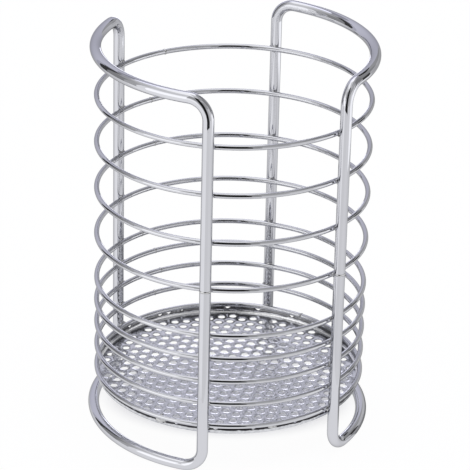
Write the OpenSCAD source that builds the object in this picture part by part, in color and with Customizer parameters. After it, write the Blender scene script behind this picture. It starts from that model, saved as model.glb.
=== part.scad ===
// Free-standing holder for kitchen utensils, welded from chromed steel wire.
// Nine wire rings stand one above another inside two closed rod frames. The frames are the
// feet at the bottom and the grips at the top. A shallow perforated tray closes the lowest ring.
// The origin is on the axis of the rings, at the level that the frames stand on. +Z is up,
// the narrower opening between the frames, at -Y, is the front, and X = 0 is the mirror plane.

/* [Rings] */
// Diameter of a ring, between the middles of its wire
ring_d = 120; // [100:1:140]
// Diameter of the ring wire
wire_d = 2.3; // [1.8:0.1:3]
// Height of the lowest ring's wire above the table
low_ring_z = 22.3; // [20:0.1:30]
// Step between the rings of the close lower part
close_pitch = 10.95; // [8:0.05:13]
// Height of the frames' top above the wire of the top ring
grip_gap = 24; // [16:0.1:40]
// Length of the collar where the two ends of a ring are butt-welded
ring_joint_l = 1.1; // [0.6:0.1:2]

/* [Frames] */
// Overall height of the frames
frame_h = 177.7; // [150:0.1:230]
// Diameter of the frame rod
rod_d = 5; // [4:0.1:7]
// Angle at the axis between the two front posts
front_angle = 57.6; // [45:0.1:70]
// Angle at the axis between the two rear posts
rear_angle = 72.4; // [60:0.1:85]
// How far the foot arcs stand out beyond the ring wire, both at their middles
foot_standoff = 1.2; // [-2:0.1:4]
// How far the grip arcs stand out beyond the ring wire, both at their middles
grip_standoff = 0.1; // [-2:0.1:4]
// Radius of the corner bends, to the middle of the rod
bend_r = 9; // [6:0.5:12]
// Length of the flash collar where the two ends of a frame are butt-welded
frame_joint_l = 1.2; // [0.6:0.1:2]

/* [Tray] */
// Thickness of the perforated sheet
sheet_t = 0.5; // [0.4:0.1:1]
// Depth of the tray below the lowest ring's wire
tray_depth = 3.15; // [2.5:0.05:5]
// Outside radius of the bend between the tray's floor and its rim
tray_corner_r = 1.5; // [1.2:0.1:2]
// Diameter of the perforations
hole_d = 3.3; // [2:0.1:3.6]
// Step between perforations along a row
hole_pitch = 5.74; // [5.5:0.02:9]
// Step from one row of perforations to the next
row_pitch = 4.97; // [4.9:0.01:8]
// Turn of the rows about the axis
row_turn = -32.7; // [-90:0.1:90]

/* [Welds] */
// How far a ring's wire is sunk into a post where they are welded
weld_sink = 0.5; // [0.3:0.05:0.8]
// Diameter of the flash round a ring's weld to a post
post_weld_d = 3.4; // [3.2:0.1:4.5]
// Diameter of a spot weld between the tray's rim and the lowest ring
tray_weld_d = 2.6; // [2:0.1:3]
// How far the flash of the butt welds stands out of the wire
flash_t = 0.15; // [0.05:0.05:0.3]

/* [Hidden] */
$fn = 96;
fine_fn = 256;

overrun = 1;
ring_r = ring_d / 2;
wire_r = wire_d / 2;
rod_r = rod_d / 2;

// Rings are counted from the table up. The first four steps are close, and the rest share
// what is left below the grips.
ring_count = 9;
close_steps = 4;
wide_steps = ring_count - 1 - close_steps;
wide_pitch = (frame_h - grip_gap - low_ring_z - close_steps * close_pitch) / wide_steps;
function ring_z(i) =
    low_ring_z + min(i, close_steps) * close_pitch + max(i - close_steps, 0) * wide_pitch;

// Azimuths of the posts of the right frame, and its own middle and half span
post_r = ring_r + wire_r + rod_r - weld_sink;
right_front_azimuth = -90 + front_angle / 2;
right_rear_azimuth = 90 - rear_angle / 2;
frame_middle = (right_front_azimuth + right_rear_azimuth) / 2;
frame_half_span = (right_rear_azimuth - right_front_azimuth) / 2;

// An arc's reach is from the axis to its middle, and its end tangents meet the posts one bend
// radius on. Its centre is on the line from the axis to its middle.
foot_reach = ring_r + foot_standoff;
grip_reach = ring_r + grip_standoff;
post_along = post_r * cos(frame_half_span);
post_across = post_r * sin(frame_half_span);
function arc_centre(reach) =
    (pow(reach, 2) + pow(bend_r, 2) - pow(post_r, 2)) / (2 * (reach - post_along));
function arc_r(reach) = reach - arc_centre(reach);
function arc_half_span(reach) =
    atan2(post_across, post_along - arc_centre(reach)) - atan2(bend_r, arc_r(reach));
bend_necking = 0.04;
bend_run_on = 2;
foot_z = rod_r;
grip_z = frame_h - rod_r;

// The outside of the tray's rim stands under the middle of the lowest ring's wire.
tray_z = low_ring_z - wire_r - tray_depth;
tray_rim_z = low_ring_z - wire_r + weld_sink / 2;
tray_flat_r = ring_r - tray_corner_r;
spot_weld_azimuths = [-138, -90, -42, -4, 37, 95, 139, 182];

// Staggered perforations: every other row starts more than half a step on. The shifts move
// the pattern off the axis, as the blank was cut without regard to it.
stagger_share = 0.6;
row_shift_share = -0.25;
hole_shift_share = -0.53;
rows_out = ceil(ring_r / row_pitch);
holes_out = ceil(ring_r / hole_pitch);

// Each ring's butt joint lies at the left rear, apart from the lowest ring's at the right rear.
ring_joint_azimuths = [36, 107, 104, 107, 115, 106, 108, 110, 103];

module ring_wire(i, thickness) {
    translate([0, 0, ring_z(i)])
        rotate_extrude()
            translate([ring_r, 0])
                circle(d = thickness);
}

module post_rod(azimuth, thickness) {
    rotate([0, 0, azimuth])
        translate([post_r, 0, 0])
            cylinder(d = thickness, h = frame_h);
}

module all_post_rods() {
    for (azimuth = [right_front_azimuth, right_rear_azimuth])
        for (side = [0, 1])
            mirror([side, 0, 0])
                post_rod(azimuth, rod_d);
}

// One ring, with a shallow saddle where each post is sunk into it
module ring(i) {
    color([0.80, 0.80, 0.83])
        difference() {
            ring_wire(i, wire_d);
            all_post_rods();
        }
}

// Places what it is given at both ends of an arc, with +Y going on along the rod
module at_arc_ends(reach) {
    translate([arc_centre(reach), 0, 0])
        for (side = [0, 1])
            mirror([0, side, 0])
                rotate([0, 0, arc_half_span(reach)])
                    translate([arc_r(reach), 0, 0])
                        children();
}

// An arc at height 0: a whole ring of rod, cut off square where its two bends begin
module arc(reach) {
    curve_r = arc_r(reach);
    difference() {
        translate([arc_centre(reach), 0, 0])
            rotate([0, 0, 180])
                rotate_extrude()
                    translate([curve_r, 0])
                        circle(d = rod_d);
        at_arc_ends(reach)
            translate([-2 * curve_r - rod_d, 0, -rod_d])
                cube([2 * curve_r + 2 * rod_d, curve_r + rod_d, 2 * rod_d]);
    }
}

// A quarter bend at height 0 that leads an arc's end up into a post. The rod is a hair
// thinner in the bend, and the bend runs on a little inside what it joins.
module corner_bend() {
    translate([0, 0, bend_r])
        rotate([0, 90, 0])
            rotate([0, 0, -bend_run_on])
                rotate_extrude(angle = 90 + 2 * bend_run_on)
                    translate([bend_r, 0])
                        circle(d = rod_d - bend_necking);
}

// An arc at height 0 with the bends at its ends
module bent_arc(reach) {
    arc(reach);
    at_arc_ends(reach)
        corner_bend();
}

// One closed frame: the foot arc, two posts and the grip arc, bent from one rod
module frame_loop() {
    rotate([0, 0, frame_middle]) {
        translate([0, 0, foot_z])
            bent_arc(foot_reach);
        at_arc_ends(foot_reach)
            translate([0, bend_r, foot_z + bend_r])
                cylinder(d = rod_d, h = grip_z - foot_z - 2 * bend_r);
        translate([0, 0, grip_z])
            mirror([0, 0, 1])
                bent_arc(grip_reach);
    }
}

module right_frame() {
    color([0.80, 0.80, 0.83])
        frame_loop();
}

module left_frame() {
    color([0.80, 0.80, 0.83])
        mirror([1, 0, 0])
            frame_loop();
}

// Outline of the pan's outside or inside, as a half section
module pan_section(radius, corner_r, height) {
    square([radius - corner_r, height]);
    translate([0, corner_r])
        square([radius, height - corner_r]);
    translate([radius - corner_r, corner_r])
        circle(r = corner_r);
}

module pan_block(radius, corner_r, height) {
    rotate_extrude()
        intersection() {
            pan_section(radius, corner_r, height);
            square([radius, height]);
        }
}

// A perforation of the flat floor. The bend and the rim are the blank's plain margin.
module perforation(x, y) {
    if (norm([x, y]) + hole_d / 2 < tray_flat_r)
        translate([x, y, tray_z - overrun])
            cylinder(d = hole_d, h = sheet_t + 2 * overrun);
}

module perforations() {
    rotate([0, 0, row_turn])
        for (row = [-rows_out:rows_out])
            for (hole = [-holes_out:holes_out])
                perforation((row + row_shift_share) * row_pitch,
                            (hole + hole_shift_share + stagger_share * (abs(row) % 2)) * hole_pitch);
}

// The tray: a pan pressed from perforated sheet, its rim seated under the lowest ring
module tray() {
    color([0.74, 0.74, 0.78])
        difference() {
            translate([0, 0, tray_z])
                pan_block(ring_r, tray_corner_r, tray_rim_z - tray_z);
            translate([0, 0, tray_z + sheet_t])
                pan_block(ring_r - sheet_t, tray_corner_r - sheet_t, tray_rim_z - tray_z + overrun);
            ring_wire(0, wire_d);
            perforations();
        }
}

// Welds between one post and all nine rings: the flash squeezed out round each crossing
module post_welds(azimuth) {
    $fn = fine_fn;
    color([0.70, 0.70, 0.74])
        for (i = [0:ring_count - 1])
            difference() {
                rotate([0, 0, azimuth])
                    translate([ring_r + wire_r - weld_sink / 2, 0, ring_z(i)])
                        sphere(d = post_weld_d);
                ring_wire(i, wire_d);
                post_rod(azimuth, rod_d);
                cylinder(r = ring_r, h = tray_rim_z);
            }
}

module front_right_post_welds() {
    post_welds(right_front_azimuth);
}

module rear_right_post_welds() {
    post_welds(right_rear_azimuth);
}

module front_left_post_welds() {
    mirror([1, 0, 0])
        post_welds(right_front_azimuth);
}

module rear_left_post_welds() {
    mirror([1, 0, 0])
        post_welds(right_rear_azimuth);
}

// Spot welds between the tray's rim and the lowest ring: lumps on the outside of both
module tray_spot_welds() {
    $fn = fine_fn;
    color([0.70, 0.70, 0.74])
        for (azimuth = spot_weld_azimuths)
            difference() {
                rotate([0, 0, azimuth])
                    translate([ring_r - sheet_t / 2, 0, tray_rim_z])
                        sphere(d = tray_weld_d);
                ring_wire(0, wire_d);
                translate([0, 0, tray_z])
                    cylinder(r = ring_r, h = tray_rim_z - tray_z + tray_weld_d);
            }
}

// Collars of flash at the rings' butt joints
module ring_joint_collars() {
    turn = ring_joint_l / ring_r * 180 / PI;
    color([0.70, 0.70, 0.74])
        for (i = [0:ring_count - 1])
            difference() {
                translate([0, 0, ring_z(i)])
                    rotate([0, 0, ring_joint_azimuths[i] - turn / 2])
                        rotate_extrude(angle = turn)
                            translate([ring_r, 0])
                                difference() {
                                    circle(r = wire_r + flash_t);
                                    circle(r = wire_r);
                                }
                cylinder(r = ring_r, h = tray_rim_z);
            }
}

// Collar of flash half way up the front post, where the frame's two ends are butt-welded.
// It is open where the ring and its weld touch the post.
module frame_joint_collar() {
    color([0.70, 0.70, 0.74])
        rotate([0, 0, right_front_azimuth])
            translate([post_r, 0, (frame_h - frame_joint_l) / 2])
                difference() {
                    cylinder(r = rod_r + flash_t, h = frame_joint_l);
                    translate([0, 0, -overrun])
                        cylinder(r = rod_r, h = frame_joint_l + 2 * overrun);
                    translate([-post_r, -rod_d, -overrun])
                        cube([post_r - rod_r / 2, 2 * rod_d, frame_joint_l + 2 * overrun]);
                }
}

module right_frame_joint_collar() {
    frame_joint_collar();
}

module left_frame_joint_collar() {
    mirror([1, 0, 0])
        frame_joint_collar();
}

ring(0);  // ring_1
ring(1);  // ring_2
ring(2);  // ring_3
ring(3);  // ring_4
ring(4);  // ring_5
ring(5);  // ring_6
ring(6);  // ring_7
ring(7);  // ring_8
ring(8);  // ring_9
left_frame();
right_frame();
tray();
front_left_post_welds();
front_right_post_welds();
rear_left_post_welds();
rear_right_post_welds();
tray_spot_welds();
ring_joint_collars();
left_frame_joint_collar();
right_frame_joint_collar();
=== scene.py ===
# Free-standing utensil holder in chromed wire: nine rings welded inside two rod frames, and a
# perforated tray. Lengths are in metres, in the part's own frame: +Z up, -Y the front.
import math

import bmesh
import bpy
from mathutils import Matrix, Quaternion, Vector, noise
from mathutils.geometry import delaunay_2d_cdt


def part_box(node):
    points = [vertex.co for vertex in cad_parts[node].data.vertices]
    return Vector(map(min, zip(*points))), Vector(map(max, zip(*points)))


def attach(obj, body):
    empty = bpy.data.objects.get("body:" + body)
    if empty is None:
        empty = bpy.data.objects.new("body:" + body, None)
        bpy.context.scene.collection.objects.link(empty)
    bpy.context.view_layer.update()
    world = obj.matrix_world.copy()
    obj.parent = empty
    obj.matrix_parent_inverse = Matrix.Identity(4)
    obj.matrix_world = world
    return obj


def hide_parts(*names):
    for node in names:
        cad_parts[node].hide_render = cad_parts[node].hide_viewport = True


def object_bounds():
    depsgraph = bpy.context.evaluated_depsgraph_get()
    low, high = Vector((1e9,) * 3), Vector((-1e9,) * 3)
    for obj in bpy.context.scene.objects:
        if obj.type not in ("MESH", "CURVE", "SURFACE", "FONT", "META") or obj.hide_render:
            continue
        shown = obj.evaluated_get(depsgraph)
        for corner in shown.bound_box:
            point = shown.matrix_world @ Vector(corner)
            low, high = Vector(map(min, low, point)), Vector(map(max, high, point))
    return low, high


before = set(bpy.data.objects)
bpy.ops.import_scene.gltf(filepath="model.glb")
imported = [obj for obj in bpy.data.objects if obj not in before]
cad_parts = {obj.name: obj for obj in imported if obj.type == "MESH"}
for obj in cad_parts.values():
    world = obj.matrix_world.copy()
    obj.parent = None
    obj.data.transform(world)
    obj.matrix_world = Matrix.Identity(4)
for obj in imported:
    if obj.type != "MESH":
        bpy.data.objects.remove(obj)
cad_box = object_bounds()
scene = bpy.context.scene

# Camera
# It stands a little over a metre off, left of the front and looking down into the holder, and
# leans a degree or so. The small shift is how far the photograph is framed off the object.
holder_height = cad_box[1][2]
camera_azimuth = math.radians(-109.3)
camera_elevation = math.radians(24.8)
camera_distance = 1.1251
camera_roll = math.radians(1.35)
camera_target = Vector((0, 0, 0.0852))
photo_width_px = 470
frame_offset_px = Vector((3.9, 2.4))
sensor_width_mm = 36
lens_mm = 193.07

camera = bpy.data.objects.new("camera", bpy.data.cameras.new("camera"))
scene.collection.objects.link(camera)
scene.camera = camera
toward_camera = Vector((
    math.cos(camera_elevation) * math.cos(camera_azimuth),
    math.cos(camera_elevation) * math.sin(camera_azimuth),
    math.sin(camera_elevation),
))
camera.location = camera_target + camera_distance * toward_camera
level_look = (-toward_camera).to_track_quat("-Z", "Y")
camera.rotation_euler = (level_look @ Quaternion((0, 0, 1), camera_roll)).to_euler()
camera.data.sensor_width = sensor_width_mm
camera.data.lens = lens_mm
camera.data.shift_x = frame_offset_px.x / photo_width_px
camera.data.shift_y = frame_offset_px.y / photo_width_px

# Table top
# A matt white sheet that runs on past the picture on every side. It is lit through from below,
# as product tables are, so that it stands plain white and only the core of the shadow is left.
table_reach = 6.0
table_white = (0.86, 0.86, 0.92, 1)
table_glow_share = 0.96
shadow_core_shift = 0.012
shadow_core_half = Vector((0.064, 0.046))
shadow_core_share = 0.45
set_turn = camera_azimuth + math.pi / 2


def any_of(tree, outputs):
    """One value that is 1 where any of the given 0 or 1 outputs is."""
    value = outputs[0]
    for output in outputs[1:]:
        larger = tree.nodes.new("ShaderNodeMath")
        larger.operation = "MAXIMUM"
        tree.links.new(value, larger.inputs[0])
        tree.links.new(output, larger.inputs[1])
        value = larger.outputs[0]
    return value


def seen_or_mirrored(tree):
    """1 on rays from the camera, off metal and through glass, and 0 on the rays that light things."""
    light_path = tree.nodes.new("ShaderNodeLightPath")
    seen = [light_path.outputs[f"Is {kind} Ray"] for kind in ("Camera", "Glossy", "Transmission")]
    return any_of(tree, seen)


table_mesh = bpy.data.meshes.new("table_top")
table_corners = [(x * table_reach, y * table_reach, 0) for x, y in ((-1, -1), (1, -1), (1, 1), (-1, 1))]
table_mesh.from_pydata(table_corners, [], [(0, 1, 2, 3)])
table = bpy.data.objects.new("table_top", table_mesh)
scene.collection.objects.link(table)
table_paper = bpy.data.materials.new("table_paper")
table_paper.use_nodes = True
paper_tree = table_paper.node_tree
paper_shader = paper_tree.nodes["Principled BSDF"]
paper_shader.inputs["Base Color"].default_value = table_white
paper_shader.inputs["Roughness"].default_value = 1.0
paper_shader.inputs["Specular IOR Level"].default_value = 0.0
paper_glow = paper_tree.nodes.new("ShaderNodeEmission")
paper_place = paper_tree.nodes.new("ShaderNodeTexCoord")
core_place = paper_tree.nodes.new("ShaderNodeMapping")
core_place.vector_type = "TEXTURE"
core_middle = Matrix.Rotation(set_turn, 3, "Z") @ Vector((0, shadow_core_shift, 0))
core_place.inputs["Location"].default_value = core_middle
core_place.inputs["Rotation"].default_value = (0, 0, set_turn)
core_place.inputs["Scale"].default_value = (*shadow_core_half, 1)
core_falloff = paper_tree.nodes.new("ShaderNodeTexGradient")
core_falloff.gradient_type = "SPHERICAL"
glow_share = paper_tree.nodes.new("ShaderNodeMapRange")
glow_share.interpolation_type = "SMOOTHSTEP"
glow_share.inputs["From Min"].default_value = 0.0
glow_share.inputs["From Max"].default_value = shadow_core_share
glow_share.inputs["To Min"].default_value = table_glow_share
glow_share.inputs["To Max"].default_value = 0.0
seen_share = paper_tree.nodes.new("ShaderNodeMath")
seen_share.operation = "MULTIPLY"
paper_mix = paper_tree.nodes.new("ShaderNodeMixShader")
paper_tree.links.new(paper_place.outputs["Object"], core_place.inputs["Vector"])
paper_tree.links.new(core_place.outputs["Vector"], core_falloff.inputs["Vector"])
paper_tree.links.new(core_falloff.outputs["Fac"], glow_share.inputs["Value"])
paper_tree.links.new(glow_share.outputs["Result"], seen_share.inputs[0])
paper_tree.links.new(seen_or_mirrored(paper_tree), seen_share.inputs[1])
paper_tree.links.new(seen_share.outputs[0], paper_mix.inputs["Fac"])
paper_tree.links.new(paper_shader.outputs["BSDF"], paper_mix.inputs[1])
paper_tree.links.new(paper_glow.outputs["Emission"], paper_mix.inputs[2])
paper_tree.links.new(paper_mix.outputs["Shader"], paper_tree.nodes["Material Output"].inputs["Surface"])
table_mesh.materials.append(table_paper)

# Lamp and surround
# One wide soft lamp overhead throws the faint shadow under the tray. The white surround fills
# in from all sides, and stands as plain white wherever the camera or the metal sees it.
lamp_strength = 1.95
lamp_width = math.radians(55)
fill_strength = 0.5
fill_tint = (0.98, 0.98, 1.04, 1)

lamp = bpy.data.objects.new("overhead_lamp", bpy.data.lights.new("overhead_lamp", "SUN"))
scene.collection.objects.link(lamp)
lamp.data.energy = lamp_strength
lamp.data.angle = lamp_width
lamp.visible_glossy = False
surround = bpy.data.worlds.new("white_surround")
scene.world = surround
surround.use_nodes = True
surround_tree = surround.node_tree
surround_light = surround_tree.nodes["Background"]
surround_light.inputs["Color"].default_value = fill_tint
surround_light.inputs["Strength"].default_value = fill_strength
surround_view = surround_tree.nodes.new("ShaderNodeBackground")
surround_view.inputs["Color"].default_value = (1, 1, 1, 1)
surround_view.inputs["Strength"].default_value = 1.0
surround_mix = surround_tree.nodes.new("ShaderNodeMixShader")
surround_tree.links.new(seen_or_mirrored(surround_tree), surround_mix.inputs["Fac"])
surround_tree.links.new(surround_light.outputs["Background"], surround_mix.inputs[1])
surround_tree.links.new(surround_view.outputs["Background"], surround_mix.inputs[2])
surround_tree.links.new(surround_mix.outputs["Shader"], surround_tree.nodes["World Output"].inputs["Surface"])

# Cards and flags
# Pale and dark cards stand in a ring round the holder, under panels and a grey ceiling, as
# round any chrome in a studio. Glowing sheets on the table are painted light and shade: brighter
# pools, a dark stretch far out in front, and the holder's painted shadow by its right foot. Only
# the metal sees them.
# Azimuths count from the right hand of the camera, counterclockwise, so it stands at -90.
card_distance = 0.7
card_eye_height = 0.1
card_steps = 8
plain_white = Vector((1, 1, 1))
lavender_white = Vector((0.97, 0.97, 1.09))
# For each stretch of azimuth, in degrees: brightness, and the elevation up to which a card
# reaches, seen from the eye height
card_columns = [
    ((-109, -105), plain_white, ((0.12, 4), (0.44, 48), (0.75, 60))),
    ((-105, -75), plain_white, ((0.012, 60),)),
    ((-75, -68), plain_white, ((0.42, 22), (0.33, 48), (0.65, 60))),
    ((-68, -46), plain_white, ((0.64, 27), (0.44, 50), (0.65, 60))),
    ((-46, -26), plain_white, ((0.85, 28), (0.5, 52), (0.65, 60))),
    ((-26, -12), plain_white, ((1.25, 8), (0.75, 37), (0.45, 60))),
    ((-12, 8), plain_white, ((1.55, 10), (0.55, 16), (0.28, 60))),
    ((8, 21), plain_white, ((0.7, 6), (0.28, 60))),
    ((21, 33), plain_white, ((0.06, 14), (0.34, 60))),
    ((33, 46), plain_white, ((0.68, 13), (0.38, 60))),
    ((46, 67), plain_white, ((0.78, 14), (0.5, 32), (0.04, 46), (0.4, 60))),
    ((67, 83), lavender_white, ((0.78, 42), (0.52, 50), (1.5, 60))),
    ((83, 97), lavender_white, ((3.4, 8), (0.78, 42), (0.5, 50), (1.5, 60))),
    ((97, 141), lavender_white, ((0.8, 42), (0.42, 50), (1.5, 60))),
    ((141, 147), lavender_white, ((0.62, 27), (0.2, 43), (0.65, 60))),
    ((147, 158), plain_white, ((0.06, 38), (0.42, 47), (0.9, 60))),
    ((158, 178), plain_white, ((0.32, 30), (0.5, 42), (0.7, 52), (0.95, 60))),
    ((178, 190), plain_white, ((0.52, 34), (0.68, 47), (0.82, 60))),
    ((190, 198), plain_white, ((1.05, 28), (0.82, 60))),
    ((198, 230), plain_white, ((1.5, 23), (1.1, 33), (0.8, 45), (0.92, 60))),
    ((230, 243), plain_white, ((1.3, 13), (0.62, 23), (0.42, 50), (0.75, 60))),
    ((243, 251), plain_white, ((0.65, 21), (0.38, 50), (0.8, 60))),
]
# For each sheet of painted light and shade on the table: azimuths in degrees, nearest and farthest reach,
# brightness
table_light_and_shade_sheets = [
    # Painted dark on the table, far out in front
    ((-112, -68), (0.46, 1.5), 0.03),
    ((-112, -68), (0.13, 0.46), 0.88),
    ((-68, -24), (0.13, 0.7), 0.92),
    ((-24, 40), (0.13, 0.38), 0.86),
    # Painted pool of light on the table, right of the holder
    ((-24, 40), (0.38, 0.7), 1.4),
    # Painted shadow of the holder on the table, by its right foot
    ((-24, 60), (0.064, 0.12), 0.42),
    ((40, 78), (0.13, 0.7), 0.84),
    ((78, 150), (0.13, 0.7), 0.86),
    ((150, 180), (0.13, 0.7), 0.92),
    ((180, 248), (0.13, 0.7), 1.1),
]
sheet_lift = 0.001


def stand_card(name, rows, tint, brightness):
    """A glowing sheet over rows of points, seen by nothing but the metal."""
    mesh = bpy.data.meshes.new(name)
    row_length = len(rows[0])
    points = [point for row in rows for point in row]
    faces = []
    for r in range(len(rows) - 1):
        for k in range(row_length - 1):
            corner = r * row_length + k
            faces.append((corner, corner + 1, corner + row_length + 1, corner + row_length))
    mesh.from_pydata(points, [], faces)
    material = bpy.data.materials.new(name)
    material.use_nodes = True
    nodes = material.node_tree.nodes
    nodes.clear()
    glow = nodes.new("ShaderNodeEmission")
    glow.inputs["Color"].default_value = (*tint, 1)
    glow.inputs["Strength"].default_value = brightness
    output = nodes.new("ShaderNodeOutputMaterial")
    material.node_tree.links.new(glow.outputs[0], output.inputs["Surface"])
    mesh.materials.append(material)
    card = bpy.data.objects.new(name, mesh)
    scene.collection.objects.link(card)
    card.visible_camera = False
    card.visible_diffuse = False
    card.visible_shadow = False


def turns_across(azimuths):
    """Angles in the part's own frame across a stretch of azimuth."""
    first, last = azimuths
    return [set_turn + math.radians(first + (last - first) * k / card_steps) for k in range(card_steps + 1)]


for column, (azimuths, tint, levels) in enumerate(card_columns):
    turns = turns_across(azimuths)
    low_z = 0.0
    for level, (brightness, elevation) in enumerate(levels):
        high_z = card_eye_height + card_distance * math.tan(math.radians(elevation))
        rows = [[(card_distance * math.cos(turn), card_distance * math.sin(turn), z) for turn in turns]
                for z in (low_z, high_z)]
        stand_card(f"card_{column}_{level}", rows, tint, brightness)
        low_z = high_z
for count, (azimuths, reaches, brightness) in enumerate(table_light_and_shade_sheets):
    rows = [[(reach * math.cos(turn), reach * math.sin(turn), sheet_lift) for turn in turns_across(azimuths)]
            for reach in reaches]
    stand_card(f"painted_table_light_{count}", rows, plain_white, brightness)

# The bright panel hangs left of the holder, seen from the camera, with a softer one over it and a
# bright one behind that. The dark flag before the camera ends in a top, and all are under the
# grey ceiling. For each: spans from left to right and from front to rear, height, brightness
panel_height = 1.25
ceiling_gap = 0.02
ceiling_reach = 3.0
ceiling_span = (-ceiling_reach, ceiling_reach)
overhead_sheets = {
    "flag_top": ((-0.19, 0.19), (-0.75, -0.57), panel_height - ceiling_gap, 0.012),
    "bright_panel": ((-0.95, -0.23), (-0.75, 0.75), panel_height, 1.35),
    "soft_panel": ((-0.23, 0.20), (-0.75, 0.1), panel_height, 0.82),
    "rear_panel": ((-0.23, 0.20), (0.1, 0.75), panel_height, 1.5),
    "grey_ceiling": (ceiling_span, ceiling_span, panel_height + ceiling_gap, 0.47),
}
overhead_turn = Matrix.Rotation(set_turn, 3, "Z")
for name, (across_span, along_span, height, brightness) in overhead_sheets.items():
    rows = [[tuple(overhead_turn @ Vector((x, y, height))) for x in across_span] for y in along_span]
    stand_card(name, rows, plain_white, brightness)

# Rings
# Nine rings of drawn steel wire, each bent from one length, closed with a butt weld and welded
# inside the posts. They were plated bright all over with the rest, after welding.
ring_nodes = [f"ring_{count}" for count in range(1, 10)]
ring_boxes = [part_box(node) for node in ring_nodes]
ring_heights = [(low.z + high.z) / 2 for low, high in ring_boxes]
wire_r = (ring_boxes[0][1].z - ring_boxes[0][0].z) / 2
ring_r = ring_boxes[0][1].x - wire_r
ring_steps = 288
wire_sides = 20
# How far the wire runs out of true, and the noise that says where
ring_run_out = 0.00006
swell_waves = 1.5
swell_seed = 7.3
rise_waves = 1.8
rise_seed = 5.9
rise_shift = 3.1
# The plating's clouds and grain, and how much of the grain's range counts for gloss
cloud_detail = 3
grain_detail = 4
grain_roughness = 0.6
grain_low = 0.3
grain_high = 0.7


def swept_rod(name, route, radius, sides):
    """A smooth closed tube of the given radius along a closed route of points."""
    count = len(route)
    ways = [(route[(k + 1) % count] - route[k - 1]).normalized() for k in range(count)]
    sideways = [ways[0].orthogonal().normalized()]
    for k in range(1, count):
        sideways.append(ways[k - 1].rotation_difference(ways[k]) @ sideways[-1])
    closing = ways[-1].rotation_difference(ways[0]) @ sideways[-1]
    twist = math.atan2(closing.cross(sideways[0]).dot(ways[0]), closing.dot(sideways[0]))
    points = []
    for k in range(count):
        first = Quaternion(ways[k], twist * k / count) @ sideways[k]
        second = ways[k].cross(first)
        for s in range(sides):
            turn = 2 * math.pi * s / sides
            points.append(route[k] + radius * (math.cos(turn) * first + math.sin(turn) * second))
    faces = [(k * sides + s, k * sides + (s + 1) % sides,
              (k + 1) % count * sides + (s + 1) % sides, (k + 1) % count * sides + s)
             for k in range(count) for s in range(sides)]
    mesh = bpy.data.meshes.new(name)
    mesh.from_pydata(points, [], faces)
    mesh.polygons.foreach_set("use_smooth", [True] * len(mesh.polygons))
    rod = bpy.data.objects.new(name, mesh)
    scene.collection.objects.link(rod)
    return rod


def build_plating_variation():
    """What plating varies by over a surface: slow clouds, fine grain, and the height of both."""
    group = bpy.data.node_groups.new("plating_variation", "ShaderNodeTree")
    for socket in ("Cloud Scale", "Grain Scale", "Grain Share"):
        group.interface.new_socket(socket, in_out="INPUT", socket_type="NodeSocketFloat")
    for socket in ("Cloud", "Grain", "Height"):
        group.interface.new_socket(socket, in_out="OUTPUT", socket_type="NodeSocketFloat")
    nodes, links = group.nodes, group.links
    given = nodes.new("NodeGroupInput")
    result = nodes.new("NodeGroupOutput")
    place = nodes.new("ShaderNodeTexCoord")
    cloud = nodes.new("ShaderNodeTexNoise")
    cloud.inputs["Detail"].default_value = cloud_detail
    grain = nodes.new("ShaderNodeTexNoise")
    grain.inputs["Detail"].default_value = grain_detail
    grain.inputs["Roughness"].default_value = grain_roughness
    height = nodes.new("ShaderNodeMix")
    links.new(place.outputs["Object"], cloud.inputs["Vector"])
    links.new(place.outputs["Object"], grain.inputs["Vector"])
    links.new(given.outputs["Cloud Scale"], cloud.inputs["Scale"])
    links.new(given.outputs["Grain Scale"], grain.inputs["Scale"])
    links.new(given.outputs["Grain Share"], height.inputs["Factor"])
    links.new(cloud.outputs["Fac"], height.inputs["A"])
    links.new(grain.outputs["Fac"], height.inputs["B"])
    links.new(cloud.outputs["Fac"], result.inputs["Cloud"])
    links.new(grain.outputs["Fac"], result.inputs["Grain"])
    links.new(height.outputs["Result"], result.inputs["Height"])
    return group


plating_variation = build_plating_variation()


def plated_steel(name, pale, dull, rim_shade, smooth, rough, cloud_scale, grain_scale, grain_share, relief):
    """Chromium plate: its two tones and two roughnesses follow the clouds and the grain.

    It mirrors less where it turns away, by the rim shade.
    """
    material = bpy.data.materials.new(name)
    material.use_nodes = True
    nodes, links = material.node_tree.nodes, material.node_tree.links
    shader = nodes["Principled BSDF"]
    shader.inputs["Metallic"].default_value = 1.0
    shader.inputs["Specular Tint"].default_value = (rim_shade, rim_shade, rim_shade, 1)
    variation = nodes.new("ShaderNodeGroup")
    variation.node_tree = plating_variation
    variation.inputs["Cloud Scale"].default_value = cloud_scale
    variation.inputs["Grain Scale"].default_value = grain_scale
    variation.inputs["Grain Share"].default_value = grain_share
    tone = nodes.new("ShaderNodeMix")
    tone.data_type = "RGBA"
    tone.inputs["A"].default_value = (*pale, 1)
    tone.inputs["B"].default_value = (*dull, 1)
    gloss = nodes.new("ShaderNodeMapRange")
    gloss.inputs["From Min"].default_value = grain_low
    gloss.inputs["From Max"].default_value = grain_high
    gloss.inputs["To Min"].default_value = smooth
    gloss.inputs["To Max"].default_value = rough
    skin = nodes.new("ShaderNodeBump")
    skin.inputs["Strength"].default_value = 1.0
    skin.inputs["Distance"].default_value = relief
    links.new(variation.outputs["Cloud"], tone.inputs["Factor"])
    links.new(tone.outputs["Result"], shader.inputs["Base Color"])
    links.new(variation.outputs["Grain"], gloss.inputs["Value"])
    links.new(gloss.outputs["Result"], shader.inputs["Roughness"])
    links.new(variation.outputs["Height"], skin.inputs["Height"])
    links.new(skin.outputs["Normal"], shader.inputs["Normal"])
    return material


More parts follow.
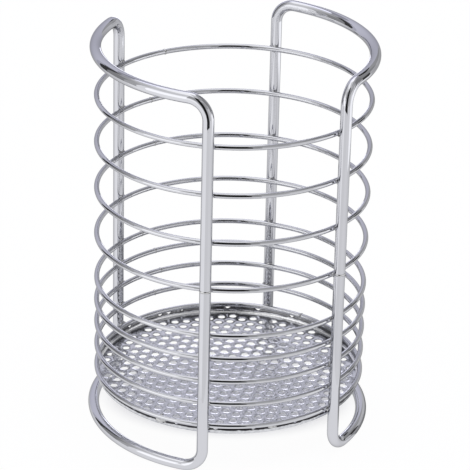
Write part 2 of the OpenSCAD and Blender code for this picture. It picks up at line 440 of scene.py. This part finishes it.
wire_chrome = plated_steel("wire_chrome", pale=(0.64, 0.645, 0.68), dull=(0.575, 0.58, 0.615), rim_shade=0.5,
                           smooth=0.0, rough=0.03, cloud_scale=60, grain_scale=700, grain_share=0.15,
                           relief=0.000008)
for count, (node, height) in enumerate(zip(ring_nodes, ring_heights)):
    route = []
    for k in range(ring_steps):
        azimuth = 2 * math.pi * k / ring_steps
        sway = Vector((math.cos(azimuth), math.sin(azimuth), 0))
        swell = noise.noise(swell_waves * sway + Vector((0, 0, swell_seed * count)))
        rise = noise.noise(rise_waves * sway + Vector((rise_shift, 0, rise_seed * count)))
        reach = ring_r - ring_run_out * (1 + swell)
        route.append(reach * sway + Vector((0, 0, height + ring_run_out * rise)))
    ring = swept_rod(f"{node}_wire", route, wire_r, wire_sides)
    ring.data.materials.append(wire_chrome)
    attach(ring, "root")
    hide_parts(node)

# Frames
# Two closed frames of heavier rod, left and right. Each is one rod bent into a foot arc, two
# posts and a grip arc, butt-welded half way up its front post.
rod_r = 0.0025
bend_r = 0.009
weld_sink = 0.0005
front_angle = math.radians(57.6)
rear_angle = math.radians(72.4)
foot_standoff = 0.00119
grip_standoff = 0.0001
frame_low, frame_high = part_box("right_frame")
foot_z = frame_low.z + rod_r
grip_z = frame_high.z - rod_r
post_r = ring_r + wire_r + rod_r - weld_sink
front_azimuth = -math.pi / 2 + front_angle / 2
rear_azimuth = math.pi / 2 - rear_angle / 2
rod_sides = 40
arc_steps = 120
bend_steps = 20
post_steps = 60


def frame_route():
    """The right frame's rod, all the way round: foot arc, rear post, grip arc, front post."""
    middle = (front_azimuth + rear_azimuth) / 2
    half_span = (rear_azimuth - front_azimuth) / 2
    along = post_r * math.cos(half_span)
    across = post_r * math.sin(half_span)

    def bent_arc(reach, z, rising):
        """An arc with its two bends, from the front post's end to the rear post's."""
        centre = (reach ** 2 + bend_r ** 2 - post_r ** 2) / (2 * (reach - along))
        arc_r = reach - centre
        arc_half = math.atan2(across, along - centre) - math.atan2(bend_r, arc_r)
        arc = [Vector((centre + arc_r * math.cos(turn), arc_r * math.sin(turn), z))
               for turn in (arc_half * (2 * k / arc_steps - 1) for k in range(arc_steps + 1))]
        onward = Vector((-math.sin(arc_half), math.cos(arc_half), 0))
        bend = [bend_r * (math.sin(q) * onward + (1 - math.cos(q)) * Vector((0, 0, rising)))
                for q in (math.pi / 2 * k / bend_steps for k in range(1, bend_steps + 1))]
        rear = [arc[-1] + step for step in bend]
        front = [arc[0] + Vector((step.x, -step.y, step.z)) for step in bend]
        return front[::-1] + arc + rear

    foot = bent_arc(ring_r + foot_standoff, foot_z, 1)
    grip = bent_arc(ring_r + grip_standoff, grip_z, -1)[::-1]
    rear_post = [foot[-1].lerp(grip[0], k / post_steps) for k in range(1, post_steps)]
    front_post = [grip[-1].lerp(foot[0], k / post_steps) for k in range(1, post_steps)]
    turn = Matrix.Rotation(middle, 3, "Z")
    return [turn @ point for point in foot + rear_post + grip + front_post]


rod_chrome = plated_steel("rod_chrome", pale=(0.655, 0.66, 0.70), dull=(0.61, 0.615, 0.655), rim_shade=0.5,
                          smooth=0.0, rough=0.03, cloud_scale=35, grain_scale=500, grain_share=0.12,
                          relief=0.000012)
right_route = frame_route()
left_route = [Vector((-point.x, point.y, point.z)) for point in reversed(right_route)]
for node, route in (("right_frame", right_route), ("left_frame", left_route)):
    rod = swept_rod(f"{node}_rod", route, rod_r, rod_sides)
    rod.data.materials.append(rod_chrome)
    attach(rod, "root")
    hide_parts(node)

# Tray
# A shallow pan pressed from perforated sheet. Its blank was punched up to the bend, and each
# punched hole sits in a slight dimple. The plain rim's sheared edge is ragged under the wire.
tray_low, tray_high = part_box("tray")
sheet_t = 0.0005
corner_r = 0.0015
hole_r = 0.00165
hole_pitch = 0.00574
row_pitch = 0.00497
row_turn = math.radians(-32.7)
row_shift_share = -0.25
hole_shift_share = -0.53
stagger_share = 0.6
hole_lip = 0.00014
dimple_width = 0.00105
dimple_depth = 0.0002
dimple_bow = 1.1
dimple_steps = (0.3, 0.62, 1.0)
hole_sides = 20
rim_sides = 480
rim_gap_depth = 0.0010
rim_gap_half = 0.0011
rim_gap_squareness = 4
rim_gaps = [math.radians(degrees) for degrees in (
    57.5, 71.5, 93.5, 99.5, 104, 122, 146, 163, 171, 194, 207,
    229, 246, 262, 281, 297, 311, 334, 352, 371, 389, 401)]
bend_rows = 6
sharp_angle = math.radians(50)
# Margins for points that meet, for the edge of the blank and for the edges of holes
same_spot = 1e-8
rim_margin = 1e-7
edge_margin = 1e-6
flat_r = ring_r - corner_r
neutral_r = corner_r - sheet_t / 2
bend_length = neutral_r * math.pi / 2
rim_height = tray_high.z - tray_low.z - corner_r
blank_r = flat_r + bend_length + rim_height


def punched_holes():
    """Middles of the holes on the flat blank, in staggered rows."""
    rows = math.ceil(blank_r / row_pitch) + 1
    holes = math.ceil(blank_r / hole_pitch) + 1
    turn = Matrix.Rotation(row_turn, 2)
    middles = []
    for row in range(-rows, rows + 1):
        for hole in range(-holes, holes + 1):
            across = (row + row_shift_share) * row_pitch
            along = (hole + hole_shift_share + stagger_share * (abs(row) % 2)) * hole_pitch
            middle = turn @ Vector((across, along))
            if middle.length + hole_r < flat_r:
                middles.append(middle)
    return middles


def pressed(point, depth):
    """Where a place on the blank ends up in the pan, at a depth below the sheet's inner face."""
    reach = point.length
    way = Vector((point.x / reach, point.y / reach, 0)) if reach else Vector((1, 0, 0))
    if reach <= flat_r:
        return Vector((point.x, point.y, tray_low.z + sheet_t - depth))
    face_r = corner_r - sheet_t + depth
    if reach <= flat_r + bend_length:
        turn = (reach - flat_r) / neutral_r
        height = tray_low.z + corner_r - face_r * math.cos(turn)
        return (flat_r + face_r * math.sin(turn)) * way + Vector((0, 0, height))
    up_rim = reach - flat_r - bend_length
    azimuth = math.atan2(point.y, point.x)
    off_gaps = [blank_r * abs(math.remainder(azimuth - gap, 2 * math.pi)) / rim_gap_half for gap in rim_gaps]
    gap = rim_gap_depth * sum(math.exp(-off ** rim_gap_squareness) for off in off_gaps)
    height = tray_low.z + corner_r + up_rim * (1 - gap / rim_height)
    return (flat_r + face_r) * way + Vector((0, 0, height))


def circle_points(middle, radius, sides):
    """Points round a circle on the flat blank."""
    return [middle + radius * Vector((math.cos(t), math.sin(t)))
            for t in (2 * math.pi * k / sides for k in range(sides))]


def build_tray():
    """The pan's mesh: the flat blank with its holes, cut into triangles and pressed to shape.

    The inner faces of the bend and the rim take the second material.
    """
    middles = punched_holes()
    points, edges = [], []

    def add_loop(loop):
        """Adds a closed loop that the triangles have to follow."""
        start = len(points)
        points.extend(loop)
        edges.extend((start + k, start + (k + 1) % len(loop)) for k in range(len(loop)))

    for middle in middles:
        for step in dimple_steps:
            add_loop(circle_points(middle, hole_r + step * dimple_width, hole_sides))
        add_loop(circle_points(middle, hole_r + hole_lip, hole_sides))
        add_loop(circle_points(middle, hole_r, hole_sides))
    origin = Vector((0, 0))
    for step in range(bend_rows + 1):
        add_loop(circle_points(origin, flat_r + bend_length * step / bend_rows, rim_sides))
    add_loop(circle_points(origin, blank_r - hole_lip, rim_sides))
    add_loop(circle_points(origin, blank_r, rim_sides))
    spots, _, faces, _, _, _ = delaunay_2d_cdt(points, edges, [], 0, same_spot, False)

    # The holes in each square cell of the blank and in the cells next to it
    cell = 2 * (hole_r + dimple_width)
    near = {}
    for middle in middles:
        for dx in (-1, 0, 1):
            for dy in (-1, 0, 1):
                key = (math.floor(middle.x / cell) + dx, math.floor(middle.y / cell) + dy)
                near.setdefault(key, []).append(middle)

    def hole_distance(spot):
        """How far a place on the blank is from the middle of the nearest hole."""
        key = (math.floor(spot.x / cell), math.floor(spot.y / cell))
        return min(((spot - middle).length for middle in near.get(key, [])), default=blank_r)

    inside_hole = hole_r * math.cos(math.pi / hole_sides)
    outside_blank = blank_r * math.cos(math.pi / rim_sides) - rim_margin

    def dimple(spot):
        """How deep the sheet was pressed in round a hole, at this place."""
        share = (hole_distance(spot) - hole_r) / dimple_width
        return dimple_depth * (1 - share) ** dimple_bow if share < 1 else 0.0

    kept = []
    for face in faces:
        centroid = sum((spots[k] for k in face), Vector((0, 0))) / 3
        if centroid.length < outside_blank and hole_distance(centroid) > inside_hole:
            kept.append(face)
    used = sorted({k for face in kept for k in face})
    index = {k: n for n, k in enumerate(used)}

    def rounded(spot):
        """How far both faces draw in at this place, by the lip of a hole or of the rim."""
        at_hole = hole_distance(spot) < hole_r + edge_margin
        at_rim = spot.length > blank_r - hole_lip / 2
        return hole_lip if at_hole or at_rim else 0.0

    sunk = {k: Vector((0, 0, -dimple(spots[k]))) for k in used}
    inner = [pressed(spots[k], rounded(spots[k])) + sunk[k] for k in used]
    outer = [pressed(spots[k], sheet_t - rounded(spots[k])) + sunk[k] for k in used]
    side_count = {}
    for face in kept:
        for a, b in zip(face, face[1:] + face[:1]):
            side_count[(a, b)] = side_count.get((a, b), 0) + 1
    faces_3d = [tuple(index[k] for k in face) for face in kept]
    faces_3d += [tuple(len(used) + index[k] for k in reversed(face)) for face in kept]
    for a, b in side_count:
        if (b, a) not in side_count:
            faces_3d.append((index[b], index[a], len(used) + index[a], len(used) + index[b]))
    mesh = bpy.data.meshes.new("perforated_tray")
    mesh.from_pydata(inner + outer, [], faces_3d)
    mesh.polygons.foreach_set("use_smooth", [True] * len(mesh.polygons))
    for count, face in enumerate(kept):
        if min(spots[k].length for k in face) > flat_r - edge_margin:
            mesh.polygons[count].material_index = 1
    mesh.set_sharp_from_angle(angle=sharp_angle)
    return mesh


tray = bpy.data.objects.new("perforated_tray", build_tray())
scene.collection.objects.link(tray)
tray_chrome = plated_steel("tray_chrome", pale=(0.88, 0.89, 0.925), dull=(0.34, 0.345, 0.37), rim_shade=0.9,
                           smooth=0.03, rough=0.09, cloud_scale=650, grain_scale=1400, grain_share=0.4,
                           relief=0.00009)
crook_chrome = plated_steel("crook_chrome", pale=(1.0, 1.0, 1.0), dull=(0.82, 0.82, 0.84), rim_shade=0.9,
                            smooth=0.06, rough=0.16, cloud_scale=400, grain_scale=1400, grain_share=0.4,
                            relief=0.00006)
# Shade is painted dark into the crook between wire and rim, down to an uneven line: outside on the
# rim's edge, and inside, where it is paler. How high each line is on the pan, and how uneven
outer_line_rise = 0.0021
outer_line_waver = 0.0012
outer_painted_shade = (0.04, 0.04, 0.045, 1)
inner_line_rise = 0.0018
inner_line_waver = 0.0014
inner_painted_shade = (0.20, 0.20, 0.21, 1)
waver_scale = 320.0
line_softness = 0.0001


def build_painted_crook_shade():
    """How much painted shade the crook takes: all of it above an uneven line."""
    group = bpy.data.node_groups.new("painted_crook_shade", "ShaderNodeTree")
    for socket in ("Line Height", "Waver"):
        group.interface.new_socket(socket, in_out="INPUT", socket_type="NodeSocketFloat")
    group.interface.new_socket("Mask", in_out="OUTPUT", socket_type="NodeSocketFloat")
    nodes, links = group.nodes, group.links
    given = nodes.new("NodeGroupInput")
    result = nodes.new("NodeGroupOutput")
    place = nodes.new("ShaderNodeTexCoord")
    spot_height = nodes.new("ShaderNodeSeparateXYZ")
    uneven = nodes.new("ShaderNodeTexNoise")
    uneven.inputs["Scale"].default_value = waver_scale
    swing = nodes.new("ShaderNodeMapRange")
    swing.clamp = False
    swing.inputs["To Min"].default_value = -0.5
    swing.inputs["To Max"].default_value = 0.5
    level = nodes.new("ShaderNodeMath")
    level.operation = "MULTIPLY_ADD"
    over = nodes.new("ShaderNodeMath")
    over.operation = "SUBTRACT"
    mask = nodes.new("ShaderNodeMapRange")
    mask.inputs["From Min"].default_value = -line_softness
    mask.inputs["From Max"].default_value = line_softness
    links.new(place.outputs["Object"], spot_height.inputs[0])
    links.new(place.outputs["Object"], uneven.inputs["Vector"])
    links.new(uneven.outputs["Fac"], swing.inputs["Value"])
    links.new(swing.outputs["Result"], level.inputs[0])
    links.new(given.outputs["Waver"], level.inputs[1])
    links.new(spot_height.outputs["Z"], level.inputs[2])
    links.new(level.outputs[0], over.inputs[0])
    links.new(given.outputs["Line Height"], over.inputs[1])
    links.new(over.outputs[0], mask.inputs["Value"])
    links.new(mask.outputs["Result"], result.inputs["Mask"])
    return group


painted_crook_shade = build_painted_crook_shade()


def paint_crook_shade(material, line_height, waver, dark):
    """Paints dark shade on the plate above an uneven line, in the crook under the wire."""
    nodes, links = material.node_tree.nodes, material.node_tree.links
    shader = nodes["Principled BSDF"]
    plated_tone = shader.inputs["Base Color"].links[0].from_socket
    shadow = nodes.new("ShaderNodeGroup")
    shadow.node_tree = painted_crook_shade
    shadow.inputs["Line Height"].default_value = line_height
    shadow.inputs["Waver"].default_value = waver
    tone = nodes.new("ShaderNodeMix")
    tone.data_type = "RGBA"
    tone.inputs["B"].default_value = dark
    links.new(shadow.outputs["Mask"], tone.inputs["Factor"])
    links.new(plated_tone, tone.inputs["A"])
    links.new(tone.outputs["Result"], shader.inputs["Base Color"])


# Painted shade in the crook under the wire, outside on the rim and on the inner faces
paint_crook_shade(tray_chrome, tray_low.z + outer_line_rise, outer_line_waver, outer_painted_shade)
paint_crook_shade(crook_chrome, tray_low.z + inner_line_rise, inner_line_waver, inner_painted_shade)
tray.data.materials.append(tray_chrome)
tray.data.materials.append(crook_chrome)
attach(tray, "root")
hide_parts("tray")

# Post welds
# Each ring is spot-welded to the four posts. The squeeze leaves an uneven bead of flash in the
# crook between wire and post, with a droplet or two beside it, all plated over.
post_azimuths = {
    "front_right": front_azimuth,
    "rear_right": rear_azimuth,
    "rear_left": math.pi - rear_azimuth,
    "front_left": math.pi - front_azimuth,
}
bead_half = Vector((0.00185, 0.0011, 0.00165))
bead_unevenness = 0.35
droplet_half = Vector((0.00062, 0.00055, 0.00055))
droplet_unevenness = 0.4
droplets_per_bead = 3
# How far beside and above the bead's middle a droplet sits, in shares of the bead's half sizes
droplet_reach = 0.9
droplet_reach_swing = 0.35
droplet_lift = 1.1
lump_subdivisions = 3
coarse_lumps = 1.7
fine_lumps = 4.1
fine_lump_share = 0.5
# Shifts into the noise, which make every lump its own
post_seed = 3.7
ring_seed = 1.9
side_seed = 0.5
slide_seed = 1.5
lift_seed = 2.5


def lump(bm, middle, axes, half, seed, unevenness):
    """One uneven bead: half sizes along the three axes given, lumpy by noise."""
    made = bmesh.ops.create_icosphere(bm, subdivisions=lump_subdivisions, radius=1)
    for vert in made["verts"]:
        way = vert.co.normalized()
        swell = 1 + unevenness * noise.noise(coarse_lumps * way + Vector((seed, 0, 0)))
        swell += fine_lump_share * unevenness * noise.noise(fine_lumps * way + Vector((0, seed, 0)))
        vert.co = middle + swell * sum((way[k] * half[k] * axes[k] for k in range(3)), Vector((0, 0, 0)))


weld_chrome = plated_steel("weld_chrome", pale=(0.92, 0.92, 0.93), dull=(0.14, 0.14, 0.15), rim_shade=0.7,
                           smooth=0.02, rough=0.08, cloud_scale=700, grain_scale=2500, grain_share=0.3,
                           relief=0.00010)


def weld_object(name, bm, node):
    """Makes one plated object of the lumps, in place of the solids of a weld node."""
    mesh = bpy.data.meshes.new(name)
    bm.to_mesh(mesh)
    bm.free()
    mesh.polygons.foreach_set("use_smooth", [True] * len(mesh.polygons))
    mesh.materials.append(weld_chrome)
    weld = bpy.data.objects.new(name, mesh)
    scene.collection.objects.link(weld)
    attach(weld, "root")
    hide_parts(node)


for post, (place, azimuth) in enumerate(post_azimuths.items()):
    out = Vector((math.cos(azimuth), math.sin(azimuth), 0))
    round_way = Vector((-math.sin(azimuth), math.cos(azimuth), 0))
    up = Vector((0, 0, 1))
    axes = (round_way, out, up)
    beads = bmesh.new()
    for count, height in enumerate(ring_heights):
        seed = post_seed * post + ring_seed * count
        contact = (ring_r + wire_r - weld_sink / 2) * out + Vector((0, 0, height))
        lump(beads, contact, axes, bead_half, seed, bead_unevenness)
        for droplet in range(droplets_per_bead):
            side = 1 if noise.noise(Vector((seed, droplet, side_seed))) > 0 else -1
            swing = droplet_reach_swing * noise.noise(Vector((droplet, seed, slide_seed)))
            slide = side * bead_half.x * (droplet_reach + swing)
            lift = bead_half.z * droplet_lift * noise.noise(Vector((lift_seed, droplet, seed)))
            spot = contact + slide * round_way + Vector((0, 0, lift))
            lump(beads, spot, axes, droplet_half, seed + droplet, droplet_unevenness)
    weld_object(f"{place}_weld_beads", beads, f"{place}_post_welds")

# Tray spot welds
# Eight spot welds hold the tray's rim under the lowest ring. Each is a smeared lump that runs
# over the wire and the rim from outside, and the first of them is the widest.
spot_azimuths = [math.radians(degrees) for degrees in (-138, -90, -42, -4, 37, 95, 139, 182)]
spot_half = Vector((0.0019, 0.0007, 0.0012))
widest_spot = Vector((0.0027, 0.0009, 0.0022))
spot_unevenness = 0.5
spot_droplet_slide = 0.0016
spot_droplet_drop = 0.0006
spot_seed = 11.3
spot_seed_step = 2.3
spot_droplet_seed = 5.1
rim_top = tray_high.z

spots = bmesh.new()
for count, azimuth in enumerate(spot_azimuths):
    out = Vector((math.cos(azimuth), math.sin(azimuth), 0))
    axes = (Vector((-math.sin(azimuth), math.cos(azimuth), 0)), out, Vector((0, 0, 1)))
    middle = ring_r * out + Vector((0, 0, rim_top))
    half = spot_half if count else widest_spot
    lump(spots, middle, axes, half, spot_seed + spot_seed_step * count, spot_unevenness)
    beside = middle + spot_droplet_slide * axes[0] - spot_droplet_drop * axes[2]
    lump(spots, beside, axes, droplet_half, spot_droplet_seed + count, droplet_unevenness)
weld_object("tray_weld_spots", spots, "tray_spot_welds")

# Ring joints
# Where the two ends of a ring's wire were butted and welded, a thin uneven collar of flash
# stands out of the wire.
joint_length = 0.0011
flash_t = 0.0002
flash_sides = 28
flash_foot_share = 0.9
flash_raggedness = 0.6
ragged_waves = 2.2
flash_drift = 0.12
drift_waves = 1.6
joint_seed = 0.7
joint_seed_step = 1.3
# Along the collar, in shares of its length: place, and how much of the flash stands out there
flash_profile = ((-0.5, None), (-0.42, 0.1), (-0.2, 0.85), (0.0, 1.0), (0.2, 0.75), (0.42, 0.1), (0.5, None))
ring_joint_azimuths = [math.radians(degrees) for degrees in (36, 107, 104, 107, 115, 106, 108, 110, 103)]


def flash_collar(bm, middle, along, radius, length, seed):
    """A band round a rod that swells in the middle, uneven all round, its ends inside the rod."""
    first = along.orthogonal().normalized()
    second = along.cross(first)
    sides = flash_sides
    sunk = flash_foot_share * radius
    rings = []
    for offset, share in flash_profile:
        ring = []
        for s in range(sides):
            turn = 2 * math.pi * s / sides
            way = math.cos(turn) * first + math.sin(turn) * second
            ragged = 1 + flash_raggedness * noise.noise(ragged_waves * way + Vector((seed, offset, 0)))
            reach = sunk if share is None else radius + flash_t * share * ragged
            drift = flash_drift * noise.noise(drift_waves * way + Vector((0, 0, seed)))
            ring.append(bm.verts.new(middle + length * (offset + drift) * along + reach * way))
        rings.append(ring)
    for lower, upper in zip(rings, rings[1:]):
        for s in range(sides):
            bm.faces.new((lower[s], lower[(s + 1) % sides], upper[(s + 1) % sides], upper[s]))
    bm.faces.new(reversed(rings[0]))
    bm.faces.new(rings[-1])


collars = bmesh.new()
for count, (azimuth, height) in enumerate(zip(ring_joint_azimuths, ring_heights)):
    middle = Vector((ring_r * math.cos(azimuth), ring_r * math.sin(azimuth), height))
    along = Vector((-math.sin(azimuth), math.cos(azimuth), 0))
    flash_collar(collars, middle, along, wire_r, joint_length, joint_seed + joint_seed_step * count)
weld_object("ring_flash_collars", collars, "ring_joint_collars")

# Frame joints
# Each frame's rod was closed with a butt weld half way up its front post. The flash was ground
# down to a low collar before plating.
frame_joint_length = 0.0012
frame_joint_seed = 4.4
frame_joints = {"right_frame": front_azimuth, "left_frame": math.pi - front_azimuth}
for frame_node, azimuth in frame_joints.items():
    collar = bmesh.new()
    middle = Vector((post_r * math.cos(azimuth), post_r * math.sin(azimuth), holder_height / 2))
    flash_collar(collar, middle, Vector((0, 0, 1)), rod_r, frame_joint_length, frame_joint_seed + azimuth)
    weld_object(f"{frame_node}_flash_collar", collar, f"{frame_node}_joint_collar")

scene.view_settings.view_transform = "Standard"
